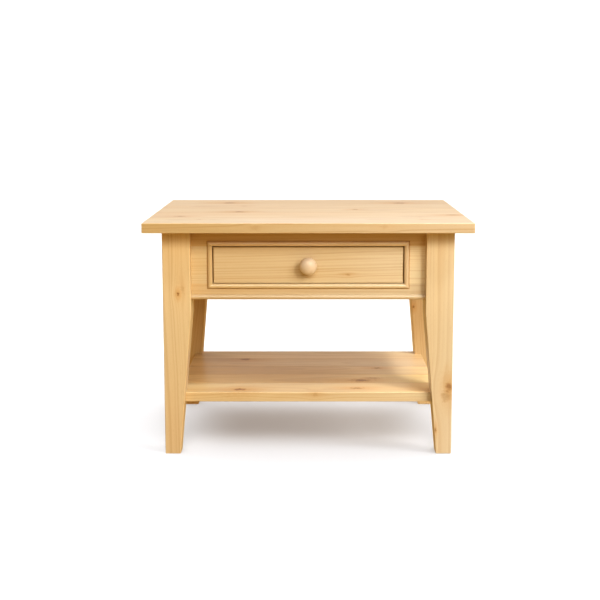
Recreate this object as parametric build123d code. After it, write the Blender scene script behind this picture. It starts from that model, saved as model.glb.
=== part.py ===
from build123d import *

import os

# Side table in solid pine: a boarded top on four tapered legs, a drawer under the top, and a boarded shelf.
# Millimetres. X runs to the right seen from the front, Y runs from the front to the back and Z up.
# The origin is on the floor, under the middle of the top.

# Top
top_length = 650.0
top_depth = 460.0
table_height = 480.0
top_thickness = 20.0
top_board_count = 5
side_overhang = 33.0
front_overhang = 42.0
back_overhang = 52.0
top_edge_round = 1.5
seam_width = 0.5
seam_depth = 0.3

# Legs
leg_width = 56.0
foot_width = 31.0
straight_below_bead = 28.5
leg_arris = 1.5
foot_chamfer = 1.0

# Aprons and rails
apron_height = 132.0
apron_thickness = 20.0
apron_setback = 18.0
apron_arris = 0.6
top_rail_height = 34.0
bottom_rail_height = 22.0
opening_width = 386.0
tenon_length = 20.0
tenon_thickness = 8.0
tenon_shoulder = 5.0
mortise_spare = 1.0
stub_length = 5.0
stub_thickness = 10.0
stub_shoulder = 4.0

# Beads
lower_bead_height = 10.5
opening_bead_width = 10.0
opening_bead_rise = 5.0

# Shelf
shelf_top = 125.0
shelf_thickness = 20.0
shelf_board_count = 5
shelf_end_inset = 26.0
shelf_edge_setback = 15.0
shelf_edge_round = 1.5
housing_depth = 6.0
dowel_diameter = 8.0
dowel_in_shelf = 20.0
dowel_in_leg = 18.0
glue_fit = 0.05

# Drawer
drawer_gap = 1.5
drawer_gap_under = 1.0
drawer_front_thickness = 20.0
drawer_front_arris = 1.0
drawer_back_gap = 10.0
drawer_side_thickness = 12.0
drawer_side_height = 73.0
drawer_back_thickness = 12.0
drawer_back_top_drop = 6.0
drawer_bottom_thickness = 5.0
drawer_bottom_lift = 9.0
drawer_groove_depth = 6.0
lap_depth = 12.0
tail_width = 11.0
tail_flare = 2.0
front_tail_count = 3
back_tail_count = 2
slide_clearance = 0.3

# Drawer runners
runner_width = 38.0
runner_thickness = 20.0
runner_overlap = 4.0
guide_width = 15.0
guide_height = 16.0
guide_clearance = 1.0
kicker_width = 32.0
kicker_thickness = 18.0
inner_stop_width = 40.0
inner_stop_length = 15.0
inner_stop_height = 6.0
inner_stop_spacing = 200.0
inner_stop_clearance = 0.2

# Knob
knob_diameter = 35.0
knob_projection = 30.0
knob_crown = 13.0
knob_neck_diameter = 17.0
knob_neck_height = 5.0
knob_base_diameter = 21.0
knob_screw_diameter = 4.0
knob_screw_bite = 15.0
screw_fit = 0.1
washer_diameter = 12.0
washer_thickness = 1.0
pan_head_diameter = 8.0
pan_head_height = 2.8
pan_head_side_ratio = 0.4

# Turn button on the back of the drawer, which stops it from pulling right out
turn_button_width = 16.0
turn_button_length = 40.0
turn_button_thickness = 10.0
turn_button_clearance = 0.2
turn_screw_diameter = 4.0
turn_screw_bite = 9.0
stop_clearance = 1.0

# Buttons that hold the top down
top_button_width = 24.0
top_button_length = 30.0
top_button_tongue = 8.0
tongue_thickness = 7.0
button_groove_width = 8.0
button_groove_depth = 9.0
button_groove_drop = 8.0
button_spacing_long = 240.0
button_spacing_short = 130.0
button_screw_diameter = 4.0
button_screw_bite = 12.0
button_lift_gap = 1.0

# Screws under the drawer bottom
bottom_screw_diameter = 3.0
bottom_screw_bite = 14.0
bottom_screw_spacing = 120.0
bottom_screw_count = 3
countersink_ratio = 2.0
cross_length_ratio = 0.6
cross_width_ratio = 0.11
cross_depth = 1.2

# A curve's handles reach this share of the way to its corner where it is a quarter of an ellipse
ellipse_handle = 0.5523

# Directions
UP = (0, 0, 1)
DOWN = (0, 0, -1)
FORWARD = (0, -1, 0)
BACKWARD = (0, 1, 0)

# Planes that the sizes above lead to
under_top = table_height - top_thickness
leg_outer_x = top_length / 2 - side_overhang
leg_inner_x = leg_outer_x - leg_width
leg_front_y = front_overhang - top_depth / 2
leg_back_y = top_depth / 2 - back_overhang
apron_bottom = under_top - apron_height
taper_top = apron_bottom - lower_bead_height - straight_below_bead
front_face_y = leg_front_y + apron_setback
front_inner_y = front_face_y + apron_thickness
back_face_y = leg_back_y - apron_setback
back_inner_y = back_face_y - apron_thickness
side_face_x = leg_outer_x - apron_setback
side_inner_x = side_face_x - apron_thickness
front_leg_rear_y = leg_front_y + leg_width
back_leg_front_y = leg_back_y - leg_width
opening_bottom = apron_bottom + bottom_rail_height
opening_top = under_top - top_rail_height
opening_x = opening_width / 2
shelf_bottom = shelf_top - shelf_thickness
shelf_x = leg_outer_x - shelf_end_inset
shelf_front_y = leg_front_y + shelf_edge_setback
shelf_back_y = leg_back_y - shelf_edge_setback
leg_at_shelf = foot_width + (leg_width - foot_width) * (shelf_top + shelf_bottom) / 2 / taper_top
leg_core = leg_at_shelf - housing_depth
drawer_x = opening_x - drawer_gap
drawer_inner_x = drawer_x - drawer_side_thickness
drawer_front_y = front_face_y
drawer_front_rear_y = drawer_front_y + drawer_front_thickness
drawer_end_y = back_inner_y - drawer_back_gap
drawer_back_front_y = drawer_end_y - drawer_back_thickness
drawer_side_bottom = opening_bottom + slide_clearance
drawer_side_top = drawer_side_bottom + drawer_side_height
drawer_front_bottom = opening_bottom + drawer_gap_under
drawer_front_top = opening_top - drawer_gap
drawer_floor = drawer_side_bottom + drawer_bottom_lift
drawer_floor_top = drawer_floor + drawer_bottom_thickness
drawer_back_top = drawer_side_top - drawer_back_top_drop
knob_z = (drawer_front_bottom + drawer_front_top) / 2
groove_top = under_top - button_groove_drop
groove_bottom = groove_top - button_groove_width
turn_pivot_z = drawer_back_top - turn_button_width / 2
turn_button_back_y = drawer_back_front_y - turn_button_clearance
turn_button_front_y = turn_button_back_y - turn_button_thickness
drawer_travel = turn_button_front_y - front_inner_y - stop_clearance


def block(x0, x1, y0, y1, z0, z1):
    """A squared piece between two corners."""
    return Pos((x0 + x1) / 2, (y0 + y1) / 2, (z0 + z1) / 2) * Box(x1 - x0, y1 - y0, z1 - z0)


def both_sides(shape):
    """The right-hand piece and its mirror image on the left."""
    return shape, mirror(shape, about=Plane.YZ)


def rod(diameter, start, end):
    """A round rod from one point to another."""
    path = Vector(*end) - Vector(*start)
    return extrude(Plane(origin=start, z_dir=path) * Circle(diameter / 2), path.length)


def softened(piece, axis, radius):
    """The piece with its long edges along one axis rounded."""
    return fillet(piece.edges().filter_by(axis), radius)


def quarter_ellipse(start, corner, end):
    """A quarter of an ellipse from one point to another, which meets the two sides of its corner there."""
    start, corner, end = Vector(*start), Vector(*corner), Vector(*end)
    leaving = start + (corner - start) * ellipse_handle
    arriving = end + (corner - end) * ellipse_handle
    return Bezier(start, leaving, arriving, end)


def countersunk(diameter, length, tip, direction):
    """A flat-headed screw with no recess, or its hole if wider, from its tip towards its head."""
    head_radius = diameter * countersink_ratio / 2
    head_height = head_radius - diameter / 2
    outline = Polyline(
        (0, 0),
        (diameter / 2, diameter),
        (diameter / 2, length - head_height),
        (head_radius, length),
        (0, length),
        close=True,
    )
    return Plane(origin=tip, z_dir=direction) * revolve(Plane.XZ * make_face(outline), Axis.Z)


def pan_headed(diameter, length, tip, direction):
    """A round-headed screw with no recess, from its tip towards its head."""
    radius = pan_head_diameter / 2
    side = length + pan_head_height * pan_head_side_ratio
    top = length + pan_head_height
    crown = quarter_ellipse((radius, side), (radius, top), (0, top))
    shank = Polyline(
        (0, top),
        (0, 0),
        (diameter / 2, diameter),
        (diameter / 2, length),
        (radius, length),
        (radius, side),
    )
    return Plane(origin=tip, z_dir=direction) * revolve(Plane.XZ * make_face([crown, shank]), Axis.Z)


def cross_recess(head_diameter, head, direction):
    """The cross to cut from a screw's head: the middle of the head's top, and the way out of it."""
    arm = head_diameter * cross_length_ratio
    width = head_diameter * cross_width_ratio
    cross = Box(arm, width, 2 * cross_depth) + Box(width, arm, 2 * cross_depth)
    return Plane(origin=head, z_dir=direction) * cross


def seam_grooves(count, y0, y1, z, length):
    """The fine vee along each glue line of a boarded panel, in its upper face."""
    board = (y1 - y0) / count
    vee = Polyline((-seam_width / 2, 0), (seam_width / 2, 0), (0, -seam_depth), close=True)
    section = Plane(origin=(-length / 2, 0, 0), x_dir=(0, 1, 0), z_dir=(1, 0, 0)) * make_face(vee)
    groove = extrude(section, length)
    return [Pos(0, y0 + board * i, z) * groove for i in range(1, count)]


def panel_boards(panel, count, y0, y1, z0, z1, length):
    """The boards that a panel is glued up from, front board first."""
    for groove in seam_grooves(count, y0, y1, z1, length):
        panel = panel - groove
    width = (y1 - y0) / count
    return [
        panel & block(-length / 2, length / 2, y0 + width * i, y0 + width * (i + 1), z0, z1)
        for i in range(count)
    ]


def top_panel():
    """The top before it is divided into its boards: a plain slab with its edges eased."""
    slab = block(-top_length / 2, top_length / 2, -top_depth / 2, top_depth / 2, under_top, table_height)
    return fillet(slab.edges(), top_edge_round)


def top_boards():
    """The boards of the top, with the pilot holes of the fixing screws."""
    panel = top_panel()
    for x, y, _ in top_button_places():
        tip = (x, y, under_top + button_screw_bite + glue_fit)
        panel = panel - rod(button_screw_diameter + 2 * glue_fit, (x, y, under_top), tip)
    y1 = top_depth / 2
    return panel_boards(panel, top_board_count, -y1, y1, under_top, table_height, top_length)


def shelf_blank():
    """The shelf with its corners notched round the legs, and its edges still square."""
    panel = block(-shelf_x, shelf_x, shelf_front_y, shelf_back_y, shelf_bottom, shelf_top)
    corner_x = leg_outer_x - leg_core
    for y0, y1 in ((leg_front_y, leg_front_y + leg_core), (leg_back_y - leg_core, leg_back_y)):
        for notch in both_sides(block(corner_x, leg_outer_x, y0, y1, shelf_bottom, shelf_top)):
            panel = panel - notch
    return panel


def shelf_boards():
    """The boards of the shelf, with the holes of the dowels that pin it to the legs."""
    panel = shelf_blank()
    across = panel.edges().filter_by(Axis.X).group_by(Axis.Y)
    panel = fillet(across[0] + across[-1], shelf_edge_round)
    ends = panel.edges().filter_by(Axis.Y).group_by(Axis.X)
    panel = fillet(ends[0] + ends[-1], shelf_edge_round)
    for x_side in (1, -1):
        for x, y, z in dowel_places():
            start = (x_side * (x - dowel_in_shelf - mortise_spare), y, z)
            panel = panel - rod(dowel_diameter + 2 * glue_fit, start, (x_side * leg_outer_x, y, z))
    return panel_boards(
        panel, shelf_board_count, shelf_front_y, shelf_back_y, shelf_bottom, shelf_top, 2 * shelf_x
    )


def dowel_places():
    """Where each dowel on the right crosses the joint between the shelf and a leg."""
    x = leg_outer_x - leg_core
    z = (shelf_top + shelf_bottom) / 2
    front = (x, (shelf_front_y + leg_front_y + leg_core) / 2, z)
    back = (x, (shelf_back_y + leg_back_y - leg_core) / 2, z)
    return front, back


def shelf_dowels():
    """The dowels that pin the shelf to the legs."""
    pins = []
    for x, y, z in dowel_places():
        pins += both_sides(rod(dowel_diameter, (x - dowel_in_shelf, y, z), (x + dowel_in_leg, y, z)))
    return Compound(children=pins)


def leg_section(width, z):
    """The square section of a leg at one height, with its outer corner on the Z axis."""
    return Pos(width / 2, width / 2, z) * RectangleRounded(width, width, leg_arris)


def leg_blank():
    """A leg with its outer corner on the Z axis: straight on the outside, tapered on both inner faces."""
    tapered = loft([leg_section(foot_width, 0), leg_section(leg_width, taper_top)], ruled=True)
    straight = extrude(leg_section(leg_width, taper_top), under_top - taper_top)
    leg = tapered + straight
    return chamfer(leg.faces().sort_by(Axis.Z)[0].edges(), foot_chamfer)


def right_leg(front):
    """One of the right-hand legs in its place, with its mortises, its shelf housing and its dowel hole."""
    if front:
        leg = Pos(leg_outer_x, leg_front_y, 0) * mirror(leg_blank(), about=Plane.YZ)
        joints = [side_tenon(-1), top_rail_tenon(), bottom_rail_tenon()]
        x, y, z = dowel_places()[0]
    else:
        turned = mirror(mirror(leg_blank(), about=Plane.YZ), about=Plane.XZ)
        leg = Pos(leg_outer_x, leg_back_y, 0) * turned
        joints = [side_tenon(1), back_tenon()]
        x, y, z = dowel_places()[1]
    for tenon in joints:
        leg = leg - tenon
    end = (x + dowel_in_leg + mortise_spare, y, z)
    return leg - shelf_blank() - rod(dowel_diameter + 2 * glue_fit, (leg_inner_x, y, z), end)


def side_tenon(end):
    """The tenon on the right side apron, at its front end (-1) or its back end (1)."""
    middle = side_face_x - apron_thickness / 2
    x0, x1 = middle - tenon_thickness / 2, middle + tenon_thickness / 2
    z0, z1 = apron_bottom + tenon_shoulder, under_top - tenon_shoulder
    if end < 0:
        return block(x0, x1, front_leg_rear_y - tenon_length, front_leg_rear_y, z0, z1)
    return block(x0, x1, back_leg_front_y, back_leg_front_y + tenon_length, z0, z1)


def rail_tenon(y_middle, y_width, z0, z1):
    """A tenon at the right-hand end of a piece that runs between two legs."""
    end = leg_inner_x + tenon_length
    return block(leg_inner_x, end, y_middle - y_width / 2, y_middle + y_width / 2, z0, z1)


def back_tenon():
    """The right-hand tenon of the back apron."""
    z0, z1 = apron_bottom + tenon_shoulder, under_top - tenon_shoulder
    return rail_tenon(back_face_y - apron_thickness / 2, tenon_thickness, z0, z1)


def top_rail_tenon():
    """The right-hand tenon of the rail over the drawer."""
    z0, z1 = opening_top + tenon_shoulder, under_top - tenon_shoulder
    return rail_tenon(front_face_y + apron_thickness / 2, tenon_thickness, z0, z1)


def bottom_rail_tenon():
    """The right-hand tenon of the rail under the drawer."""
    middle = (front_face_y + front_leg_rear_y) / 2
    width = front_leg_rear_y - front_face_y - 2 * tenon_shoulder
    return rail_tenon(middle, width, apron_bottom + tenon_shoulder, opening_bottom - tenon_shoulder)


def side_apron():
    """The apron on the right, with its tenons and the groove for the buttons of the top."""
    body = block(side_inner_x, side_face_x, front_leg_rear_y, back_leg_front_y, apron_bottom, under_top)
    groove = block(
        side_inner_x,
        side_inner_x + button_groove_depth,
        front_leg_rear_y,
        back_leg_front_y,
        groove_bottom,
        groove_top,
    )
    return softened(body, Axis.Y, apron_arris) - groove + side_tenon(-1) + side_tenon(1)


def back_apron():
    """The apron at the back, with its tenons, its button groove and the mortises of runners and kickers."""
    body = block(-leg_inner_x, leg_inner_x, back_inner_y, back_face_y, apron_bottom, under_top)
    groove = block(
        -leg_inner_x,
        leg_inner_x,
        back_inner_y,
        back_inner_y + button_groove_depth,
        groove_bottom,
        groove_top,
    )
    apron = softened(body, Axis.X, apron_arris) - groove
    for tenon in both_sides(back_tenon()):
        apron = apron + tenon
    for piece in (*both_sides(runner()), *both_sides(kicker())):
        apron = apron - piece
    return apron


def top_rail():
    """The rail over the drawer, with its tenons, its button groove and the mortises of what meets it."""
    body = block(-leg_inner_x, leg_inner_x, front_face_y, front_inner_y, opening_top, under_top)
    groove = block(
        -leg_inner_x,
        leg_inner_x,
        front_inner_y - button_groove_depth,
        front_inner_y,
        groove_bottom,
        groove_top,
    )
    rail = body - groove
    for tenon in both_sides(top_rail_tenon()):
        rail = rail + tenon
    for piece in (*both_sides(stile()), *both_sides(kicker())):
        rail = rail - piece
    return rail


def bottom_rail():
    """The rail under the drawer, laid flat, with its tenons and the mortises of stiles and runners."""
    rail = block(-leg_inner_x, leg_inner_x, front_face_y, front_leg_rear_y, apron_bottom, opening_bottom)
    for tenon in both_sides(bottom_rail_tenon()):
        rail = rail + tenon
    for piece in (*both_sides(stile()), *both_sides(runner())):
        rail = rail - piece
    return rail


def stile():
    """The short upright on the right of the drawer, with a stub tenon at each end."""
    body = block(opening_x, leg_inner_x, front_face_y, front_inner_y, opening_bottom, opening_top)
    middle = (front_face_y + front_inner_y) / 2
    stub = block(
        opening_x + stub_shoulder,
        leg_inner_x - stub_shoulder,
        middle - tenon_thickness / 2,
        middle + tenon_thickness / 2,
        opening_bottom - stub_length,
        opening_top + stub_length,
    )
    return body + stub


def opening_bead(side):
    """One of the four mitred beads round the drawer opening: top, bottom, left or right."""
    x, w = opening_x, opening_bead_width
    z0, z1 = opening_bottom, opening_top
    across = side in ("top", "bottom")
    inner = {"top": z1, "bottom": z0, "left": -x, "right": x}[side]
    outer = inner + (w if side in ("top", "right") else -w)
    long0, long1 = (-x, x) if across else (z0, z1)
    corners = [(long0, inner), (long1, inner), (long1 + w, outer), (long0 - w, outer)]
    if not across:
        corners = [(b, a) for a, b in corners]
    face = Plane(origin=(0, front_face_y, 0), x_dir=(1, 0, 0), z_dir=(0, -1, 0))
    mitred = extrude(face * make_face(Polyline(*corners, close=True)), opening_bead_rise)
    middle = (inner + outer) / 2
    hood = Ellipse(w / 2, opening_bead_rise)
    if across:
        section = Plane(origin=(-x - w, front_face_y, middle), x_dir=(0, 0, 1), z_dir=(1, 0, 0))
        length = 2 * (x + w)
    else:
        section = Plane(origin=(middle, front_face_y, z0 - w), x_dir=(1, 0, 0), z_dir=(0, 0, 1))
        length = z1 - z0 + 2 * w
    return mitred & extrude(section * hood, length)


def nosing(length):
    """A strip with a rounded nose, along X from the origin, its back at Y = apron thickness, under Z = 0."""
    radius = lower_bead_height / 2
    outline = Polyline(
        (0, 0), (apron_thickness, 0), (apron_thickness, -lower_bead_height), (0, -lower_bead_height)
    )
    nose = ThreePointArc((0, -lower_bead_height), (-radius, -radius), (0, 0))
    section = Plane(origin=(0, 0, 0), x_dir=(0, 1, 0), z_dir=(1, 0, 0)) * make_face([outline, nose])
    return extrude(section, length)


def front_bead():
    """The bead under the front, between the legs."""
    return Pos(-leg_inner_x, front_face_y, apron_bottom) * nosing(2 * leg_inner_x)


def side_bead():
    """The bead under the right side apron, between the legs."""
    length = back_leg_front_y - front_leg_rear_y
    return Pos(side_face_x, front_leg_rear_y, apron_bottom) * Rot(0, 0, 90) * nosing(length)


def runner():
    """The rail on the right that the drawer slides on, with a stub tenon at each end."""
    x0 = drawer_inner_x - runner_overlap
    top, bottom = opening_bottom, opening_bottom - runner_thickness
    body = block(x0, x0 + runner_width, front_leg_rear_y, back_inner_y, bottom, top)
    middle = (top + bottom) / 2
    stub = block(
        x0 + stub_shoulder,
        x0 + runner_width - stub_shoulder,
        front_leg_rear_y - stub_length,
        back_inner_y + stub_length,
        middle - stub_thickness / 2,
        middle + stub_thickness / 2,
    )
    return body + stub


def guide():
    """The strip on the right runner that keeps the drawer straight."""
    x0 = drawer_x + guide_clearance
    return block(
        x0, x0 + guide_width, front_inner_y, back_inner_y, opening_bottom, opening_bottom + guide_height
    )


def kicker():
    """The rail over the right side of the drawer, which stops it from tipping as it opens."""
    x0 = drawer_inner_x - runner_overlap
    top = opening_top + kicker_thickness
    body = block(x0, x0 + kicker_width, front_inner_y, back_inner_y, opening_top, top)
    middle = opening_top + kicker_thickness / 2
    stub = block(
        x0 + stub_shoulder,
        x0 + kicker_width - stub_shoulder,
        front_inner_y - stub_length,
        back_inner_y + stub_length,
        middle - stub_thickness / 2,
        middle + stub_thickness / 2,
    )
    return body + stub


def inner_stop():
    """The small block on the right, behind the drawer front, that stops the drawer flush."""
    x0 = inner_stop_spacing / 2 - inner_stop_width / 2
    y0 = drawer_front_rear_y + inner_stop_clearance
    z0 = opening_bottom
    return block(x0, x0 + inner_stop_width, y0, y0 + inner_stop_length, z0, z0 + inner_stop_height)


def tails(count, y_root, y_tip, z0, z1):
    """The dovetails at one end of the right drawer side."""
    pitch = (z1 - z0) / count
    root = tail_width / 2
    tip = root + tail_flare
    side_plane = Plane(origin=(drawer_inner_x, 0, 0), x_dir=(0, 1, 0), z_dir=(1, 0, 0))
    outline = Polyline((y_root, -root), (y_tip, -tip), (y_tip, tip), (y_root, root), close=True)
    tail = extrude(side_plane * make_face(outline), drawer_side_thickness)
    return [Pos(0, 0, z0 + pitch * (i + 0.5)) * tail for i in range(count)]


def front_tails():
    """The tails that lap into the drawer front, on the right."""
    z0, z1 = drawer_front_bottom, drawer_side_top
    return tails(front_tail_count, drawer_front_rear_y, drawer_front_rear_y - lap_depth, z0, z1)


def back_tails():
    """The tails that pass through the drawer back, on the right."""
    return tails(back_tail_count, drawer_back_front_y, drawer_end_y, drawer_floor_top, drawer_back_top)


def drawer_bottom():
    """The plywood bottom, held in grooves on three sides and screwed up to the back."""
    x = drawer_inner_x + drawer_groove_depth
    y0 = drawer_front_rear_y - drawer_groove_depth
    panel = block(-x, x, y0, drawer_end_y, drawer_floor, drawer_floor_top)
    for hole in bottom_screw_holes():
        panel = panel - hole
    return panel


def drawer_bottom_blank():
    """The drawer bottom with no holes, as the grooves are cut for it."""
    x = drawer_inner_x + drawer_groove_depth
    y0 = drawer_front_rear_y - drawer_groove_depth
    return block(-x, x, y0, drawer_end_y, drawer_floor, drawer_floor_top)


def drawer_front():
    """The drawer front, with the tails' sockets, the bottom's groove and the knob screw's hole."""
    front = block(
        -drawer_x,
        drawer_x,
        drawer_front_y,
        drawer_front_rear_y,
        drawer_front_bottom,
        drawer_front_top,
    )
    front = fillet(front.faces().sort_by(Axis.Y)[0].edges(), drawer_front_arris)
    for tail in front_tails():
        for piece in both_sides(tail):
            front = front - piece
    hole = rod(
        knob_screw_diameter + 2 * screw_fit, (0, drawer_front_y, knob_z), (0, drawer_front_rear_y, knob_z)
    )
    return front - drawer_bottom_blank() - hole


def drawer_back_blank():
    """The drawer back with its pins, before it is drilled."""
    back = block(
        -drawer_x, drawer_x, drawer_back_front_y, drawer_end_y, drawer_floor_top, drawer_back_top
    )
    for tail in back_tails():
        for piece in both_sides(tail):
            back = back - piece
    return back


def drawer_back():
    """The drawer back, drilled for the turn button's screw and for the screws of the bottom."""
    back = drawer_back_blank()
    for hole in bottom_screw_holes():
        back = back - hole
    mouth = (0, drawer_back_front_y, turn_pivot_z)
    end = (0, drawer_back_front_y + turn_screw_bite + glue_fit, turn_pivot_z)
    return back - rod(turn_screw_diameter + 2 * glue_fit, mouth, end)


def drawer_side():
    """The right side of the drawer, dovetailed at both ends and grooved for the bottom."""
    side = block(
        drawer_inner_x,
        drawer_x,
        drawer_front_rear_y,
        drawer_end_y,
        drawer_side_bottom,
        drawer_side_top,
    )
    side = side - drawer_back_blank()
    for tail in front_tails():
        side = side + tail
    return side - drawer_bottom_blank()


def bottom_screw_places():
    """Where the screws of the drawer bottom have their tips."""
    y = (drawer_back_front_y + drawer_end_y) / 2
    first = -bottom_screw_spacing * (bottom_screw_count - 1) / 2
    z = drawer_floor_top + bottom_screw_bite
    return [(first + bottom_screw_spacing * i, y, z) for i in range(bottom_screw_count)]


def bottom_screw_holes():
    """The holes of those screws, through the drawer bottom and into the drawer back."""
    diameter = bottom_screw_diameter + 2 * glue_fit
    length = drawer_bottom_thickness + bottom_screw_bite + glue_fit
    return [countersunk(diameter, length, (x, y, z + glue_fit), DOWN) for x, y, z in bottom_screw_places()]


def bottom_screws():
    """The screws that hold the drawer bottom up to the drawer back."""
    length = drawer_bottom_thickness + bottom_screw_bite
    head = bottom_screw_diameter * countersink_ratio
    screws = []
    for x, y, z in bottom_screw_places():
        screw = countersunk(bottom_screw_diameter, length, (x, y, z), DOWN)
        screws.append(screw - cross_recess(head, (x, y, drawer_floor), DOWN))
    return Compound(children=screws)


def knob():
    """The turned knob: a domed head on a short waisted neck, drilled for its screw."""
    radius, neck, base = knob_diameter / 2, knob_neck_diameter / 2, knob_base_diameter / 2
    hole, hole_depth = knob_screw_diameter / 2 + glue_fit, knob_screw_bite + glue_fit
    widest, top = knob_projection - knob_crown, knob_projection
    outline = [
        Line((hole, 0), (base, 0)),
        ThreePointArc((base, 0), (neck, knob_neck_height / 2), (neck, knob_neck_height)),
        quarter_ellipse((neck, knob_neck_height), (radius, knob_neck_height), (radius, widest)),
        quarter_ellipse((radius, widest), (radius, top), (0, top)),
        Polyline((0, top), (0, hole_depth), (hole, hole_depth), (hole, 0)),
    ]
    turned = revolve(Plane.XZ * make_face(outline), Axis.Z)
    return Plane(origin=(0, drawer_front_y, knob_z), z_dir=FORWARD) * turned


def knob_washer():
    """The washer under the head of the knob screw, inside the drawer."""
    y0 = drawer_front_rear_y
    disc = rod(washer_diameter, (0, y0, knob_z), (0, y0 + washer_thickness, knob_z))
    hole = rod(
        knob_screw_diameter + 2 * screw_fit, (0, y0, knob_z), (0, y0 + washer_thickness, knob_z)
    )
    return disc - hole


def knob_screw():
    """The screw that holds the knob, driven from inside the drawer."""
    length = knob_screw_bite + drawer_front_thickness + washer_thickness
    tip = (0, drawer_front_y - knob_screw_bite, knob_z)
    head = (0, drawer_front_rear_y + washer_thickness + pan_head_height, knob_z)
    screw = pan_headed(knob_screw_diameter, length, tip, BACKWARD)
    return screw - cross_recess(pan_head_diameter, head, BACKWARD)


def turn_button():
    """The turn button, upright, with rounded ends and a hole for its screw."""
    reach = turn_button_length - turn_button_width
    ends = SlotCenterToCenter(reach, turn_button_width)
    middle = (0, turn_button_back_y, turn_pivot_z + reach / 2)
    plane = Plane(origin=middle, x_dir=UP, z_dir=FORWARD)
    body = extrude(plane * ends, turn_button_thickness)
    hole = rod(
        turn_screw_diameter + 2 * screw_fit,
        (0, turn_button_back_y, turn_pivot_z),
        (0, turn_button_front_y, turn_pivot_z),
    )
    return body - hole


def turn_screw():
    """The screw that the turn button turns on."""
    length = turn_screw_bite + turn_button_thickness + 2 * turn_button_clearance
    tip_y = drawer_back_front_y + turn_screw_bite
    head = (0, tip_y - length - pan_head_height, turn_pivot_z)
    screw = pan_headed(turn_screw_diameter, length, (0, tip_y, turn_pivot_z), FORWARD)
    return screw - cross_recess(pan_head_diameter, head, FORWARD)


def top_button_places():
    """Each top button's screw: its X, its Y, and the way that its tongue points, in degrees from +X."""
    half = top_button_length / 2
    long, short = button_spacing_long / 2, button_spacing_short / 2
    middle_y = (front_leg_rear_y + back_leg_front_y) / 2
    places = []
    for x in (-long, long):
        places.append((x, front_inner_y + half, -90))
        places.append((x, back_inner_y - half, 90))
    for y in (middle_y - short, middle_y + short):
        places.append((side_inner_x - half, y, 0))
        places.append((half - side_inner_x, y, 180))
    return places


def top_buttons():
    """The wooden buttons that hold the top down and let it move with the seasons."""
    half = top_button_length / 2
    side = top_button_width / 2
    z0 = groove_top - tongue_thickness
    body = block(-half, half, -side, side, z0, under_top - button_lift_gap)
    body = body + block(half, half + top_button_tongue, -side, side, z0, groove_top)
    diameter = button_screw_diameter + 2 * screw_fit
    buttons = []
    for x, y, turn in top_button_places():
        placed = Pos(x, y, 0) * Rot(0, 0, turn) * body
        tip = (x, y, z0 + top_screw_length() + screw_fit)
        buttons.append(placed - countersunk(diameter, top_screw_length() + screw_fit, tip, DOWN))
    return Compound(children=buttons)


def top_screw_length():
    """The length of a screw that goes up through a button and into the top."""
    return under_top + button_screw_bite - groove_top + tongue_thickness


def top_screws():
    """The screws of the top buttons."""
    head_z = groove_top - tongue_thickness
    tip_z = head_z + top_screw_length()
    head = button_screw_diameter * countersink_ratio
    screws = []
    for x, y, _ in top_button_places():
        screw = countersunk(button_screw_diameter, top_screw_length(), (x, y, tip_z), DOWN)
        screws.append(screw - cross_recess(head, (x, y, head_z), DOWN))
    return Compound(children=screws)


def all_pieces():
    """Every piece of the table by its node's name."""
    pieces = {f"top_board_{i + 1}": board for i, board in enumerate(top_boards())}
    pieces |= {f"shelf_board_{i + 1}": board for i, board in enumerate(shelf_boards())}
    pairs = {
        "front_leg": right_leg(True),
        "back_leg": right_leg(False),
        "side_apron": side_apron(),
        "front_stile": stile(),
        "side_bead": side_bead(),
        "drawer_runner": runner(),
        "drawer_guide": guide(),
        "drawer_kicker": kicker(),
        "drawer_inner_stop": inner_stop(),
        "drawer_side": drawer_side(),
    }
    for name, shape in pairs.items():
        pieces[f"{name}_right"], pieces[f"{name}_left"] = both_sides(shape)
    for side in ("top", "bottom", "left", "right"):
        pieces[f"opening_bead_{side}"] = opening_bead(side)
    pieces |= {
        "back_apron": back_apron(),
        "front_top_rail": top_rail(),
        "front_bottom_rail": bottom_rail(),
        "front_bead": front_bead(),
        "shelf_dowels": shelf_dowels(),
        "top_buttons": top_buttons(),
        "top_button_screws": top_screws(),
        "drawer_front": drawer_front(),
        "drawer_back": drawer_back(),
        "drawer_bottom": drawer_bottom(),
        "drawer_bottom_screws": bottom_screws(),
        "drawer_knob": knob(),
        "knob_washer": knob_washer(),
        "knob_screw": knob_screw(),
        "turn_button": turn_button(),
        "turn_button_screw": turn_screw(),
    }
    return pieces


os.makedirs("parts", exist_ok=True)
for node, piece in all_pieces().items():
    export_step(piece, f"parts/{node}.step")
print(f"drawer travel {drawer_travel:.1f} mm, turn button axis at z {turn_pivot_z:.1f} mm")
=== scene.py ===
import math

import bmesh
import bpy
from mathutils import Euler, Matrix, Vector


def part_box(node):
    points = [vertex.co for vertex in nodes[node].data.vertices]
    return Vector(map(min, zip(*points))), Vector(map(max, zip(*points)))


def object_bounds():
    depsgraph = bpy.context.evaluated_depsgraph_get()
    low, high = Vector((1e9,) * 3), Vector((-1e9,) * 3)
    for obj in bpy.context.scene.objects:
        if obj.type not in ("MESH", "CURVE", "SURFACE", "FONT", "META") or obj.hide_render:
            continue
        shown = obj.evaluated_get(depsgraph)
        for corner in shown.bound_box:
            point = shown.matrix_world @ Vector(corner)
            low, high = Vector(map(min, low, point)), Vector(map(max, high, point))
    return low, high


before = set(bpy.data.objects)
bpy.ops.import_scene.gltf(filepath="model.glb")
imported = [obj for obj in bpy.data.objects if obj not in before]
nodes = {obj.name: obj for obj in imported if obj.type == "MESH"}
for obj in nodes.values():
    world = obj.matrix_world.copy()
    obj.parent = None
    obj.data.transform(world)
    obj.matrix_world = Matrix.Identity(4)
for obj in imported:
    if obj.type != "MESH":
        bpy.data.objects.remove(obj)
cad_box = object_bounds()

MM = 0.001
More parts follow.
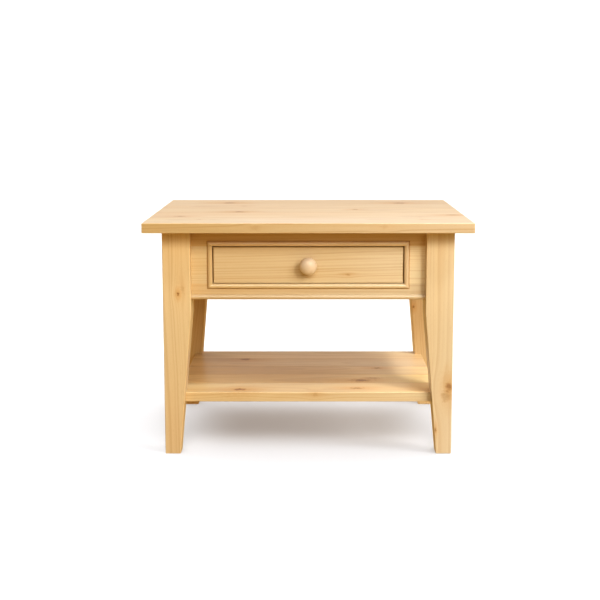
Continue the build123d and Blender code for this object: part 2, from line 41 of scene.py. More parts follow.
UP, FRONT, BACK, RIGHT = (0, 0, 1), (0, -1, 0), (0, 1, 0), (1, 0, 0)

# Which way the board's own length runs: its grain, then the turn that lays X along it.
GRAIN = {
    "x": ((1, 0, 0), (0, 0, 0)),
    "y": ((0, 1, 0), (0, 0, math.pi / 2)),
    "z": ((0, 0, 1), (0, -math.pi / 2, 0)),
}

# Finishes: pale spring wood, darker summer wood, how strongly the rings and the streaks
# show, the roughness of the wood, and the varnish over it.
VARNISH = {
    "pale": (0.705, 0.530, 0.300, 1),
    "dark": (0.560, 0.358, 0.160, 1),
    "rings": 0.42,
    "streaks": 0.42,
    "rough": 0.40,
    "coat": 0.25,
    "coat_rough": 0.22,
}
FIGURED = {**VARNISH, "pale": (0.688, 0.515, 0.290, 1), "rings": 0.62, "streaks": 0.85}
STILE_VARNISH = {**FIGURED, "rings": 0.45, "streaks": 0.55}
TOP_VARNISH = {**VARNISH, "rings": 0.52, "streaks": 0.60}
BEAD_VARNISH = {**VARNISH, "rough": 0.36, "coat": 1.0, "coat_rough": 0.17, "rings": 0.25}
SANDED = {
    "pale": (0.720, 0.520, 0.290, 1),
    "dark": (0.520, 0.315, 0.140, 1),
    "rings": 0.60,
    "streaks": 0.45,
    "rough": 0.74,
    "coat": 0.0,
    "coat_rough": 0.5,
}
PLANED = {
    "pale": (0.690, 0.495, 0.275, 1),
    "dark": (0.480, 0.290, 0.130, 1),
    "rings": 0.70,
    "streaks": 0.50,
    "rough": 0.66,
    "coat": 0.0,
    "coat_rough": 0.5,
}

# What each feature of the wood or of its varnish, and each painted highlight or painted shade,
# multiplies the colour by.
WARM_BAND = (1.0, 0.90, 0.74, 1)
RESIN_CANAL = (0.62, 0.48, 0.34, 1)
KNOT_HALO = (0.88, 0.68, 0.44, 1)
END_GRAIN = (0.70, 0.58, 0.42, 1)
# Paler arrises: partly wear, partly a painted highlight.
WORN_AND_HIGHLIT_ARRIS = (1.12, 1.16, 1.24, 1)
# Painted shade in the corner round the opening's beads and in the gap inside them.
PAINTED_CORNER_SHADE = (0.66, 0.42, 0.20, 1)
# Painted shade on the drawer front's arrises and narrow edges, standing in for the dark gap round
# it.
PAINTED_GAP_SHADE_ARRIS = (0.74, 0.60, 0.38, 1)
PAINTED_GAP_SHADE_EDGE = (0.94, 0.78, 0.54, 1)
GLUE_LINE = (0.62, 0.44, 0.26, 1)

# The colours of a knot, round its core and at it.
KNOT_WOOD = (0.45, 0.215, 0.060, 1)
KNOT_CORE = (0.25, 0.098, 0.022, 1)

# How fine each figure of the wood is: its swings in a metre along the board, across and up.
SLOW_SWAY = (2.4, 12, 12)
QUICK_SWAY = (17, 80, 80)
FIBRES = (26, 620, 620)
CANALS = (110, 2300, 2300)
STREAKS = (1.5, 46, 46)
BROAD_BANDS = (1.1, 14, 14)
FLAMES = (4.5, 165, 165)
RUBBED_SPOTS = (60, 90, 90)
SMEARS = (9, 22, 22)
GLUE_PATCHES = (14, 0, 0)

# Tints of single boards, in even steps from the low end of the grain to the high end: partly the
# wood's own colour, partly painted light and shade, lighter where lamps fell brighter and darker
# where shade fell.
PLAIN = (1, 1, 1)
TONES_AND_PAINTED_LIGHT = {
    "top_board_1": ((0.96, 1.00, 1.12), (0.98, 1.04, 1.30), (0.98, 1.05, 1.30)),
    "top_board_2": ((0.95, 0.94, 1.00), (0.98, 1.04, 1.24)),
    "top_board_3": ((0.94, 0.95, 1.02), (0.94, 0.98, 1.12)),
    "top_board_4": ((0.94, 0.92, 0.95), (0.90, 0.90, 0.96)),
    "top_board_5": ((0.94, 0.92, 0.95), (0.87, 0.85, 0.88)),
    "shelf_board_1": ((0.90, 0.92, 0.88), (1.02, 1.05, 1.10), (1.30, 1.32, 1.34)),
    "shelf_board_2": ((0.88, 0.80, 0.66), (0.90, 0.84, 0.72), (1.26, 1.40, 1.45)),
    "shelf_board_3": ((0.80, 0.70, 0.58), (0.77, 0.71, 0.64), (1.15, 1.28, 1.52)),
    "shelf_board_4": ((0.84, 0.73, 0.60), (0.84, 0.81, 0.80), (1.02, 1.08, 1.26)),
    "shelf_board_5": ((1.00, 0.92, 0.74), (0.99, 0.97, 0.98), (1.02, 1.05, 1.10)),
    "front_leg_left": ((0.96, 1.00, 1.10), (0.99, 1.06, 1.17), (1.14, 1.16, 1.15)),
    "front_leg_right": ((1.03, 1.14, 1.42), (0.99, 1.10, 1.33), (1.12, 1.24, 1.48)),
    "back_leg_left": ((0.98, 0.91, 0.78), (1.03, 0.99, 0.90)),
    "back_leg_right": ((1.05, 1.08, 1.12), (0.82, 0.79, 0.75)),
    "front_top_rail": ((1.03, 0.98, 0.82), (1.05, 1.03, 0.95)),
    "front_bottom_rail": ((1.02, 1.01, 0.98), (1.08, 1.20, 1.45)),
    "front_stile_left": ((1.07, 1.14, 1.20),),
    "front_stile_right": ((1.19, 1.35, 1.62),),
    "drawer_front": ((1.05, 1.10, 1.17), (1.07, 1.15, 1.28), (1.15, 1.30, 1.62)),
    "front_bead": ((0.92, 0.94, 0.98), (1.04, 1.14, 1.36)),
    "opening_bead_top": ((1.13, 1.16, 1.26), (1.20, 1.28, 1.46)),
    "opening_bead_bottom": ((1.06, 1.09, 1.08), (1.14, 1.26, 1.46)),
    "opening_bead_left": ((0.99, 1.02, 1.04),),
    "opening_bead_right": ((1.08, 1.17, 1.42),),
    "side_bead_left": ((1.05, 1.10, 1.18),),
    "side_bead_right": ((1.05, 1.10, 1.18),),
}
# The same for the long edges of the boards, where they differ from the faces, also partly painted
# light and shade.
EDGE_TONES_AND_PAINTED_LIGHT = {
    "top_board": ((0.81, 0.79, 0.70), (0.93, 0.98, 1.12)),
    "shelf_board": ((0.95, 0.95, 0.92), (1.02, 1.12, 1.30)),
}
# Widths of the glue lines at the low side and the high side of each board, in millimetres.
SEAMS = {
    "top_board_1": (0.0, 1.6),
    "top_board_2": (1.3, 3.0),
    "top_board_3": (3.5, 1.3),
    "top_board_4": (1.3, 1.3),
    "top_board_5": (1.3, 0.0),
    "shelf_board_1": (0.0, 1.3),
    "shelf_board_2": (1.3, 2.6),
    "shelf_board_3": (3.2, 4.0),
    "shelf_board_4": (3.6, 1.3),
    "shelf_board_5": (1.3, 0.0),
}

# The studio, in metres, and the camera's dip below level, in degrees.
FLOOR_REACH = 60.0
WALL_AWAY = 30.0
WALL_HEIGHT = 44.0
LIT_MIDDLE = (0, 0, 0.35)
CAMERA_PLACE = (0.0, -2.1591, 0.7182)
CAMERA_DIP = 7.309


class Sheet:
    """A node tree, with short ways to put nodes on it and join them."""

    def __init__(self, tree):
        self.tree = tree

    def put(self, kind, feeds=(), **settings):
        node = self.tree.nodes.new(kind)
        for name, value in settings.items():
            setattr(node, name, value)
        for socket, value in dict(feeds).items():
            self.feed(node.inputs[socket], value)
        return node

    def feed(self, socket, value):
        if isinstance(value, bpy.types.NodeSocket):
            self.tree.links.new(value, socket)
        else:
            socket.default_value = value

    def calc(self, operation, *values, clamp=False):
        node = self.put("ShaderNodeMath", operation=operation, use_clamp=clamp)
        for socket, value in zip(node.inputs, values):
            self.feed(socket, value)
        return node.outputs[0]

    def vec(self, operation, *values):
        node = self.put("ShaderNodeVectorMath", operation=operation)
        for socket, value in zip(node.inputs, values):
            self.feed(socket, value)
        single = operation in ("DOT_PRODUCT", "LENGTH")
        return node.outputs["Value" if single else "Vector"]

    def scaled(self, vector, amount):
        node = self.put("ShaderNodeVectorMath", operation="SCALE")
        self.feed(node.inputs["Vector"], vector)
        self.feed(node.inputs["Scale"], amount)
        return node.outputs["Vector"]

    def noise(self, place, stretch, detail=2.0, roughness=0.5):
        node = self.put(
            "ShaderNodeTexNoise",
            {
                "Vector": self.vec("MULTIPLY", place, stretch),
                "Scale": 1.0,
                "Detail": detail,
                "Roughness": roughness,
            },
        )
        return node.outputs["Fac"], node.outputs["Color"]

    def wave_along(self, distance, detail=1.0):
        node = self.put(
            "ShaderNodeTexNoise",
            {"W": distance, "Scale": 1.0, "Detail": detail},
            noise_dimensions="1D",
        )
        return node.outputs["Fac"]

    def ease(self, value, low, high, start=0.0, end=1.0):
        node = self.put(
            "ShaderNodeMapRange",
            {
                "Value": value,
                "From Min": low,
                "From Max": high,
                "To Min": start,
                "To Max": end,
            },
            interpolation_type="SMOOTHSTEP",
        )
        return node.outputs["Result"]

    def mix(self, share, first, second, blend="MIX"):
        node = self.put("ShaderNodeMix", data_type="RGBA", blend_type=blend)
        self.feed(node.inputs[0], share)
        self.feed(node.inputs[6], first)
        self.feed(node.inputs[7], second)
        return node.outputs[2]

    def stain(self, share, colour, tint):
        """The colour, multiplied by the tint as far as share says."""
        return self.mix(share, colour, self.mix(1.0, colour, tint, "MULTIPLY"))

    def parts(self, vector):
        return self.put("ShaderNodeSeparateXYZ", {"Vector": vector}).outputs

    def faces(self, normal, way, low, high, start=0.0, end=1.0):
        """From start to end, as a face turns square to the way given or to its opposite."""
        square = self.calc("ABSOLUTE", self.vec("DOT_PRODUCT", normal, way))
        return self.ease(square, low, high, start, end)

    def bump(self, height, strength, distance):
        node = self.put(
            "ShaderNodeBump", {"Height": height, "Strength": strength, "Distance": distance}
        )
        return node.outputs["Normal"]


def new_group(name, takes, gives):
    """A node group with the named sockets, as a sheet with its input and output nodes."""
    tree = bpy.data.node_groups.new(name, "ShaderNodeTree")
    for direction, sockets in (("INPUT", takes), ("OUTPUT", gives)):
        for socket, kind in sockets:
            tree.interface.new_socket(
                name=socket, in_out=direction, socket_type=f"NodeSocket{kind}"
            )
    sheet = Sheet(tree)
    start = sheet.put("NodeGroupInput")
    end = sheet.put("NodeGroupOutput")
    return sheet, start.outputs, end.inputs


def knot_group():
    """One knot: it darkens its spot and pushes the rings aside as they pass."""
    sheet, take, give = new_group(
        "pine_knot",
        [
            ("Place", "Vector"),
            ("Spot", "Vector"),
            ("Across", "Vector"),
            ("Axis", "Vector"),
            ("Size", "Float"),
            ("Long", "Float"),
            ("Strength", "Float"),
            ("Knot", "Float"),
            ("Core", "Float"),
            ("Halo", "Float"),
        ],
        [("Place", "Vector"), ("Knot", "Float"), ("Core", "Float"), ("Halo", "Float")],
    )
    from_spot = sheet.vec("SUBTRACT", take["Place"], take["Spot"])
    along = sheet.parts(from_spot)["X"]
    shorter = sheet.calc("DIVIDE", along, take["Long"])
    across = sheet.vec("DOT_PRODUCT", from_spot, take["Across"])

    # It narrows into the wood, and its outline wobbles in a way of its own.
    depth = sheet.vec("DOT_PRODUCT", from_spot, take["Axis"])
    size = sheet.calc("MULTIPLY", take["Size"], sheet.ease(depth, -0.045, 0.0, 0.25, 1.0))
    own = sheet.scaled(from_spot, sheet.calc("DIVIDE", 1.3, take["Size"]))
    own = sheet.vec("ADD", own, sheet.scaled(take["Spot"], 97.0))
    wobble, _ = sheet.noise(own, (1, 1, 1), 4.0, 0.6)
    wobble = sheet.calc("MULTIPLY", sheet.calc("SUBTRACT", wobble, 0.5), 1.8)

    def spread(length, width):
        squares = [
            sheet.calc("POWER", sheet.calc("DIVIDE", side, size), 2.0) for side in (length, width)
        ]
        return sheet.calc("SQRT", sheet.calc("ADD", *squares))

    near = sheet.calc("ADD", spread(shorter, across), wobble)
    knot = sheet.ease(near, 0.30, 1.10, 1.0, 0.0)
    core = sheet.calc("MULTIPLY", knot, sheet.ease(near, 0.70, 0.20))
    wide = spread(sheet.calc("MULTIPLY", shorter, 0.38), sheet.calc("MULTIPLY", across, 0.62))
    halo = sheet.ease(sheet.calc("MULTIPLY_ADD", wobble, 0.5, wide), 0.10, 1.8, 1.0, 0.0)

    # The rings give way in a bell curve that is longer and wider than the knot.
    reach = spread(sheet.calc("MULTIPLY", shorter, 0.30), sheet.calc("MULTIPLY", across, 0.42))
    push = sheet.calc(
        "POWER", 2.718, sheet.calc("MULTIPLY", sheet.calc("MULTIPLY", reach, reach), -1.0)
    )
    push = sheet.calc("MULTIPLY", sheet.calc("MULTIPLY", push, across), -0.82)
    sheet.feed(
        give["Place"],
        sheet.vec("ADD", take["Place"], sheet.scaled(take["Across"], push)),
    )

    for name, value in (("Knot", knot), ("Core", core), ("Halo", halo)):
        value = sheet.calc("MULTIPLY", value, take["Strength"])
        sheet.feed(give[name], sheet.calc("MAXIMUM", take[name], value))
    return sheet.tree


def board_group():
    """A plank cut from a log: rings round a pith line, fibres, streaks and knots."""
    sheet, take, give = new_group(
        "pine_board",
        [
            ("Place", "Vector"),
            ("Seed", "Vector"),
            ("Pith", "Vector"),
            ("Lean", "Vector"),
            ("Ring", "Float"),
            ("Sway", "Float"),
            ("Rings", "Float"),
            ("Streaks", "Float"),
            ("Tone", "Color"),
            ("Pale", "Color"),
            ("Dark", "Color"),
            ("Knot", "Float"),
            ("Core", "Float"),
            ("Halo", "Float"),
            ("End", "Float"),
            ("Arris", "Float"),
        ],
        [("Colour", "Color"), ("Dullness", "Float"), ("Height", "Float")],
    )
    place = take["Place"]
    seeded = sheet.vec("ADD", place, take["Seed"])

    def sway(stretch, share, detail):
        _, drift = sheet.noise(seeded, stretch, detail)
        drift = sheet.vec("MULTIPLY", sheet.vec("SUBTRACT", drift, (0.5, 0.5, 0.5)), (0, 1, 1))
        return sheet.scaled(drift, sheet.calc("MULTIPLY", take["Sway"], share))

    # How far a point lies from the pith, which leans and sways on its way along.
    lean = sheet.scaled(take["Lean"], sheet.parts(place)["X"])
    from_pith = sheet.vec("SUBTRACT", sheet.vec("SUBTRACT", place, take["Pith"]), lean)
    from_pith = sheet.vec("ADD", from_pith, sway(SLOW_SWAY, 1.0, 2.0))
    from_pith = sheet.vec("ADD", from_pith, sway(QUICK_SWAY, 0.10, 3.0))
    radius = sheet.vec("LENGTH", sheet.vec("MULTIPLY", from_pith, (0, 1, 1)))

    # Uneven years, each pale in spring and dark toward its end, some darker than others.
    uneven = sheet.wave_along(sheet.calc("MULTIPLY", radius, 95.0), 2.0)
    years = sheet.calc("DIVIDE", radius, take["Ring"])
    years = sheet.calc("MULTIPLY_ADD", uneven, 1.8, years)
    season = sheet.calc("FRACT", years)
    late = sheet.calc(
        "MULTIPLY",
        sheet.ease(season, 0.30, 0.92),
        sheet.ease(season, 0.93, 1.0, 1.0, 0.0),
    )
    year_strength = sheet.wave_along(
        sheet.calc("MULTIPLY", sheet.calc("FLOOR", years), 0.77), 0.0
    )
    late = sheet.calc("MULTIPLY", late, sheet.ease(year_strength, 0.25, 0.75, 0.35, 1.0))

    fibre, _ = sheet.noise(seeded, FIBRES, 3.0, 0.6)
    canal, _ = sheet.noise(seeded, CANALS, 1.0)
    canal = sheet.ease(canal, 0.66, 0.76)
    streak, _ = sheet.noise(seeded, STREAKS, 2.0)
    broad, _ = sheet.noise(seeded, BROAD_BANDS, 2.0)
    flame, _ = sheet.noise(seeded, FLAMES, 2.0)

    # The colour: rings, fibres and streaks, then what stains them, then paler arrises that are
    # partly painted highlight, then the board's tint, which is partly painted light and shade.
    share = sheet.calc("MULTIPLY", late, take["Rings"])
    share = sheet.calc("MULTIPLY_ADD", sheet.calc("SUBTRACT", fibre, 0.5), 0.22, share)
    swing = sheet.calc("SUBTRACT", sheet.calc("MULTIPLY_ADD", flame, 0.9, streak), 0.95)
    swing = sheet.calc("MULTIPLY", swing, take["Streaks"])
    share = sheet.calc("ADD", share, swing, clamp=True)
    colour = sheet.mix(share, take["Pale"], take["Dark"])
    colour = sheet.stain(sheet.ease(broad, 0.40, 0.72, 0.0, 0.55), colour, WARM_BAND)
    canal = sheet.calc("MULTIPLY", canal, 0.28)
    colour = sheet.stain(canal, colour, RESIN_CANAL)

    colour = sheet.stain(sheet.calc("MULTIPLY", take["Halo"], 0.70), colour, KNOT_HALO)
    knot = sheet.mix(take["Core"], KNOT_WOOD, KNOT_CORE)
    colour = sheet.mix(sheet.calc("MULTIPLY", take["Knot"], 0.92), colour, knot)
    colour = sheet.stain(sheet.calc("MULTIPLY", take["End"], 0.55), colour, END_GRAIN)
    # Paler arrises in patches: partly wear, partly a painted highlight where the edges would
    # catch the lamps.
    rub, _ = sheet.noise(seeded, RUBBED_SPOTS, 2.0)
    worn_and_lit = sheet.calc("MULTIPLY", take["Arris"], sheet.ease(rub, 0.35, 0.65, 0.15, 0.55))
    colour = sheet.stain(worn_and_lit, colour, WORN_AND_HIGHLIT_ARRIS)
    sheet.feed(give["Colour"], sheet.mix(1.0, colour, take["Tone"], "MULTIPLY"))

    # Late wood is glossier, end grain and fibres are duller, and smears go either way.
    smear, _ = sheet.noise(seeded, SMEARS, 3.0)
    dull = sheet.calc("MULTIPLY", sheet.calc("SUBTRACT", smear, 0.5), 0.16)
    dull = sheet.calc("MULTIPLY_ADD", late, -0.05, dull)
    dull = sheet.calc("MULTIPLY_ADD", take["End"], 0.10, dull)
    dull = sheet.calc("MULTIPLY_ADD", fibre, 0.05, dull)
    sheet.feed(give["Dullness"], dull)

    # Late wood, fibres and knots stand proud, and canals are sunk.
    height = sheet.calc("MULTIPLY", late, 0.35)
    height = sheet.calc("MULTIPLY_ADD", fibre, 0.30, height)
    height = sheet.calc("MULTIPLY_ADD", canal, -0.8, height)
    height = sheet.calc("MULTIPLY_ADD", take["Knot"], 0.5, height)
    sheet.feed(give["Height"], height)
    return sheet.tree


def arris_group():
    """How near a point is to its board's nearest arris, from 0 to 1."""
    sheet, take, give = new_group(
        "near_arris", [("Place", "Vector"), ("Half", "Vector")], [("Arris", "Float")]
    )
    inside = sheet.vec("SUBTRACT", take["Half"], sheet.vec("ABSOLUTE", take["Place"]))
    x, y, z = sheet.parts(inside)
    # Two faces meet at an arris, so it is as near as the second nearest face.
    second = sheet.calc(
        "MAXIMUM",
        sheet.calc("MINIMUM", x, y),
        sheet.calc("MINIMUM", sheet.calc("MAXIMUM", x, y), z),
    )
    sheet.feed(give["Arris"], sheet.ease(second, 0.0004, 0.0028, 1.0, 0.0))
    return sheet.tree


PINE_KNOT = knot_group()
PINE_BOARD = board_group()
NEAR_ARRIS = arris_group()


def new_material(name):
    material = bpy.data.materials.new(name)
    material.use_nodes = True
    material.node_tree.nodes.clear()
    return material, Sheet(material.node_tree)


def close_material(sheet, feeds):
    """The surface shader and the output node, with every plain number on the shader itself."""
    shader = sheet.put("ShaderNodeBsdfPrincipled", feeds)
    sheet.put("ShaderNodeOutputMaterial", {"Surface": shader.outputs["BSDF"]})


def board_turn(grain):
    """Turns a place in the table into one along, across and up the board."""
    return Euler(GRAIN[grain][1]).to_matrix().transposed()


def board_place(sheet, name, grain):
    """The piece's own coordinates, and the same from its middle with X along its grain."""
    low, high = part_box(name)
    coords = sheet.put("ShaderNodeTexCoord").outputs
    place = sheet.put(
        "ShaderNodeMapping",
        {"Vector": coords["Object"], "Location": (low + high) / 2, "Rotation": GRAIN[grain][1]},
        vector_type="TEXTURE",
    )
    return coords, place.outputs["Vector"]


def dress(name, material):
    """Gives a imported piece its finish, in every material slot that it has."""
    mesh = nodes[name].data
    if not mesh.materials:
        mesh.materials.append(material)
    for place in nodes[name].material_slots:
        place.material = material


def tint_along(sheet, place, half_long, tints):
    """One tint after the other in even steps from the low end of the board to its high end."""
    along = sheet.parts(place)["X"]
    step = 2 * half_long / max(1, len(tints) - 1)
    colour = (*tints[0], 1)
    for count, tint in enumerate(tints[1:]):
        start = count * step - half_long
        colour = sheet.mix(sheet.ease(along, start, start + step), colour, (*tint, 1))
    return colour


def board_tint(sheet, name, coords, place, half_long):
    """The board's tint, and the one of its long edges where they have their own, both partly
    painted light and shade.
    """
    tone_and_light = tint_along(sheet, place, half_long, TONES_AND_PAINTED_LIGHT.get(name, (PLAIN,)))
    edges = EDGE_TONES_AND_PAINTED_LIGHT.get(name.rpartition("_")[0])
    if not edges:
        return tone_and_light
    on_edge = sheet.faces(coords["Normal"], UP, 0.4, 0.8, 1.0, 0.0)
    return sheet.mix(on_edge, tone_and_light, tint_along(sheet, place, half_long, edges))


def paint_corner_shade(sheet, name, coords, tone_and_light):
    """Painted shade: a browner line in the corner where the opening's beads meet the frame.

    It also covers the piece inside the beads, in the gap round the drawer where shade falls,
    save on the bottom rail, whose face is all outside them.
    """
    low = Vector((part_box("opening_bead_left")[0].x, 0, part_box("opening_bead_bottom")[0].z))
    high = Vector((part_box("opening_bead_right")[1].x, 0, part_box("opening_bead_top")[1].z))
    from_middle = sheet.vec("SUBTRACT", coords["Object"], (low + high) / 2)
    beyond = sheet.vec("SUBTRACT", sheet.vec("ABSOLUTE", from_middle), (high - low) / 2)
    sideways, _, upward = sheet.parts(beyond)
    outside = sheet.calc("MAXIMUM", sideways, upward)
    # Painted shade: a brown line just outside the beads, and brown all inside them.
    line = sheet.ease(outside, 0.0003, 0.0021, 1.0, 0.0)
    if name == "front_bottom_rail":
        line = sheet.calc("MULTIPLY", line, sheet.ease(outside, -0.0008, 0.0))
    return sheet.stain(line, tone_and_light, PAINTED_CORNER_SHADE)


def glue_lines(sheet, seams, place, half_wide, tone_and_light):
    """Patchy dark lines along the sides where the next board is glued on."""
    if not any(seams):
        return tone_and_light
    patchy, _ = sheet.noise(place, GLUE_PATCHES, 2.0)
    patchy = sheet.ease(patchy, 0.35, 0.62, 0.25, 1.0)
    for way, width in zip((-1, 1), seams):
        if width:
            from_middle = sheet.calc("MULTIPLY", sheet.parts(place)["Y"], way)
            from_joint = sheet.calc("SUBTRACT", half_wide, from_middle)
            line = sheet.ease(from_joint, 0.0003, width * MM, 0.75, 0.0)
            tone_and_light = sheet.stain(sheet.calc("MULTIPLY", line, patchy), tone_and_light, GLUE_LINE)
    return tone_and_light


def near_free_arris(sheet, seams, place, half):
    """How near the board's arrises a point is, leaving out those at a glued side."""
    far_off = 1.0
    low, high = (half.y + (far_off if width else 0.0) for width in seams)
    arris = sheet.put(
        "ShaderNodeGroup",
        {
            "Place": sheet.vec("SUBTRACT", place, (0, (high - low) / 2, 0)),
            "Half": (half.x, (low + high) / 2, half.z),
        },
        node_tree=NEAR_ARRIS,
    )
    return arris.outputs["Arris"]


def paint_gap_shade(sheet, name, coords, arris, tone_and_light):
    """Painted shade on a panel's arrises, save near its foot, and on its narrow edges, where the
    gap round it lies in shade.
    """
    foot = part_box(name)[0].z
    above = sheet.ease(sheet.parts(coords["Object"])["Z"], foot + 0.003, foot + 0.008)
    # Painted shade: darker arrises and narrow edges, as the gap round the panel would be dark.
    line = sheet.calc("MULTIPLY", sheet.calc("MULTIPLY", arris, 0.75), above)
    tone_and_light = sheet.stain(line, tone_and_light, PAINTED_GAP_SHADE_ARRIS)
    on_edge = sheet.faces(coords["Normal"], FRONT, 0.4, 0.8, 1.0, 0.0)
    return sheet.stain(on_edge, tone_and_light, PAINTED_GAP_SHADE_EDGE)


def bend_round_knots(sheet, name, grain, place, knots):
    """Passes the board's place through its knots, and gathers how they darken it."""
    low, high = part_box(name)
    turn = board_turn(grain)
    darkening = {"Knot": 0.0, "Core": 0.0, "Halo": 0.0}
    for spot, size, face, long, strength in knots:
        axis = turn @ Vector(face)
        knot = sheet.put(
            "ShaderNodeGroup",
            {
                "Place": place,
                "Spot": turn @ (Vector(spot) * MM - (low + high) / 2),
                "Across": axis.cross(Vector((1, 0, 0))),
                "Axis": axis,
                "Size": size * MM,
                "Long": long,
                "Strength": strength,
                **darkening,
            },
            node_tree=PINE_KNOT,
        )
        place = knot.outputs["Place"]
        darkening = {mark: knot.outputs[mark] for mark in darkening}
    return place, darkening


def plank(sheet, feeds):
    """The board pattern, fed with what its sockets take."""
    return sheet.put("ShaderNodeGroup", feeds, node_tree=PINE_BOARD).outputs


def pine(name, finish, grain, pith, lean, ring, seed, knots=(), sway=10.0, varnish="even"):
    """Makes a pine board's own material and puts it on.

    pith is where the heart of the log lay from the board's middle, across and up, and lean
    how far it leans across and up for each step along. ring is the width of a year, sway is
    how far the rings wander, and seed gives each board a figure of its own. Each knot has
    its spot in the table, its size, the face that it shows on, its length for its width,
    and its strength. Lengths are in millimetres. varnish is even, with paler arrises that
    are partly wear and partly painted highlight; corner_shade, with painted shade where the
    beads of the opening meet the piece and inside them; or gap_shade, with painted shade on
    the arrises and narrow edges.
    """
    material, sheet = new_material(f"{name}_wood")
    coords, place = board_place(sheet, name, grain)
    low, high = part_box(name)
    half = Vector(map(abs, board_turn(grain) @ ((high - low) / 2)))
    seams = SEAMS.get(name, (0.0, 0.0))

    tone_and_light = board_tint(sheet, name, coords, place, half.x)
    if varnish == "corner_shade":
        tone_and_light = paint_corner_shade(sheet, name, coords, tone_and_light)
    tone_and_light = glue_lines(sheet, seams, place, half.y, tone_and_light)
    arris = near_free_arris(sheet, seams, place, half)
    if varnish == "gap_shade":
        tone_and_light = paint_gap_shade(sheet, name, coords, arris, tone_and_light)
    place, darkening = bend_round_knots(sheet, name, grain, place, knots)
    board = plank(
        sheet,
        {
            "Place": place,
            "Seed": (seed * 3.1, seed * 1.7, seed * 2.3),
            "Pith": (0, pith[0] * MM, pith[1] * MM),
            "Lean": (0, *lean),
            "Ring": ring * MM,
            "Sway": sway * MM,
            "Rings": finish["rings"],
            "Streaks": finish["streaks"],
            "Tone": tone_and_light,
            "Pale": finish["pale"],
            "Dark": finish["dark"],
            "End": sheet.faces(coords["Normal"], GRAIN[grain][0], 0.6, 0.95),
            "Arris": arris if varnish == "even" else 0.0,
            **darkening,
        },
    )
    close_material(
        sheet,
        {
            "Base Color": board["Colour"],
            "Roughness": sheet.calc("ADD", board["Dullness"], finish["rough"]),
            "Normal": sheet.bump(board["Height"], 0.25, 0.0004),
            "Coat Weight": finish["coat"],
            "Coat Roughness": finish["coat_rough"],
        },
    )
    dress(name, material)


def dress_top():
    """Five flat-sawn boards, knots up, the pith of each on its own side."""
    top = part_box("top_board_1")[1].z / MM
    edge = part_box("top_board_1")[0].y / MM
    rows = [
        ("top_board_1", (14, -62), (0.006, 0.030), 4.6, 1.0, [
            ((-219, -167, top), 5, UP, 1.4, 0.5), ((229, -164, top), 4, UP, 1.2, 0.5),
            ((-104, edge, 471), 6, FRONT, 1.8, 0.16), ((149, edge, 473), 5, FRONT, 1.8, 0.16),
        ]),
        ("top_board_2", (-20, -48), (-0.010, 0.022), 3.9, 2.0, [
            ((-264, -112, top), 8, UP, 2.0, 0.8), ((302, -89, top), 10, UP, 1.8, 0.8),
            ((229, -124, top), 4, UP, 1.4, 0.5),
        ]),
        ("top_board_3", (10, -70), (0.012, -0.024), 4.2, 3.0, [
            ((-148, -30, top), 12, UP, 1.5, 0.8), ((102, 16, top), 7.5, UP, 1.3, 0.85),
        ]),
        ("top_board_4", (-12, -55), (-0.006, 0.036), 3.7, 4.0, [
            ((-145, 90, top), 7, UP, 1.3, 0.5),
        ]),
        ("top_board_5", (22, -50), (0.008, 0.020), 4.4, 5.0, [
            ((-183, 156, top), 12.5, UP, 1.7, 1.0), ((212, 154, top), 12.5, UP, 1.6, 1.0),
        ]),
    ]
    for name, pith, lean, ring, seed, knots in rows:
        pine(name, TOP_VARNISH, "x", pith, lean, ring, seed, knots)


def dress_shelf():
    """Five narrower boards, the front one with its knots near the front edge."""
    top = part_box("shelf_board_1")[1].z / MM
    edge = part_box("shelf_board_1")[0].y / MM
    rows = [
        ("shelf_board_1", (8, -58), (0.010, 0.022), 4.2, 11.0, [
            ((-142, -154, top), 10, UP, 2.0, 0.9), ((100, -145, top), 7, UP, 2.6, 0.75),
            ((14, edge, 120), 5, FRONT, 1.8, 0.28),
        ]),
        ("shelf_board_2", (-14, -46), (-0.006, 0.030), 3.8, 12.0, [
            ((112, -86, top), 12, UP, 2.6, 0.85), ((138, -78, top), 7, UP, 3.2, 0.5),
        ]),
        ("shelf_board_3", (12, -66), (0.012, -0.018), 4.4, 13.0, [
            ((153, 12, top), 6.5, UP, 2.0, 0.85),
        ]),
        ("shelf_board_4", (-10, -52), (0.004, 0.026), 3.6, 14.0, [
            ((-144, 88, top), 12, UP, 1.6, 0.85),
        ]),
        ("shelf_board_5", (16, -60), (-0.008, 0.020), 4.1, 15.0, []),
    ]
    for name, pith, lean, ring, seed, knots in rows:
        pine(name, TOP_VARNISH, "x", pith, lean, ring, seed, knots)


def dress_legs():
    """Solid legs, rift-sawn, so that fine lines run down every face."""
    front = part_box("front_leg_left")[0].y / MM
    back_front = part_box("back_leg_left")[0].y / MM
    pine("front_leg_left", VARNISH, "z", (96, 60), (0.008, 0.004), 3.4, 21.0, [
        ((-261, front, 332), 3.8, FRONT, 1.3, 1.0), ((-254, front, 342), 5.0, FRONT, 2.2, 0.25),
    ], sway=7.0)
    pine("front_leg_right", VARNISH, "z", (110, -56), (-0.006, 0.008), 3.7, 22.0, [
        ((286, front, 141), 10.5, FRONT, 1.2, 0.75), ((282, front, 121), 7.5, FRONT, 1.7, 0.40),
        ((260, front, 50), 2.2, FRONT, 3.0, 0.8),
    ], sway=7.0)
    pine("back_leg_left", VARNISH, "z", (-96, 50), (0.010, -0.008), 3.7, 23.0, sway=7.0)
    pine("back_leg_right", VARNISH, "z", (-88, -62), (-0.010, 0.010), 3.4, 24.0, [
        ((245, back_front, 240), 4, FRONT, 1.3, 0.8),
    ], sway=7.0)


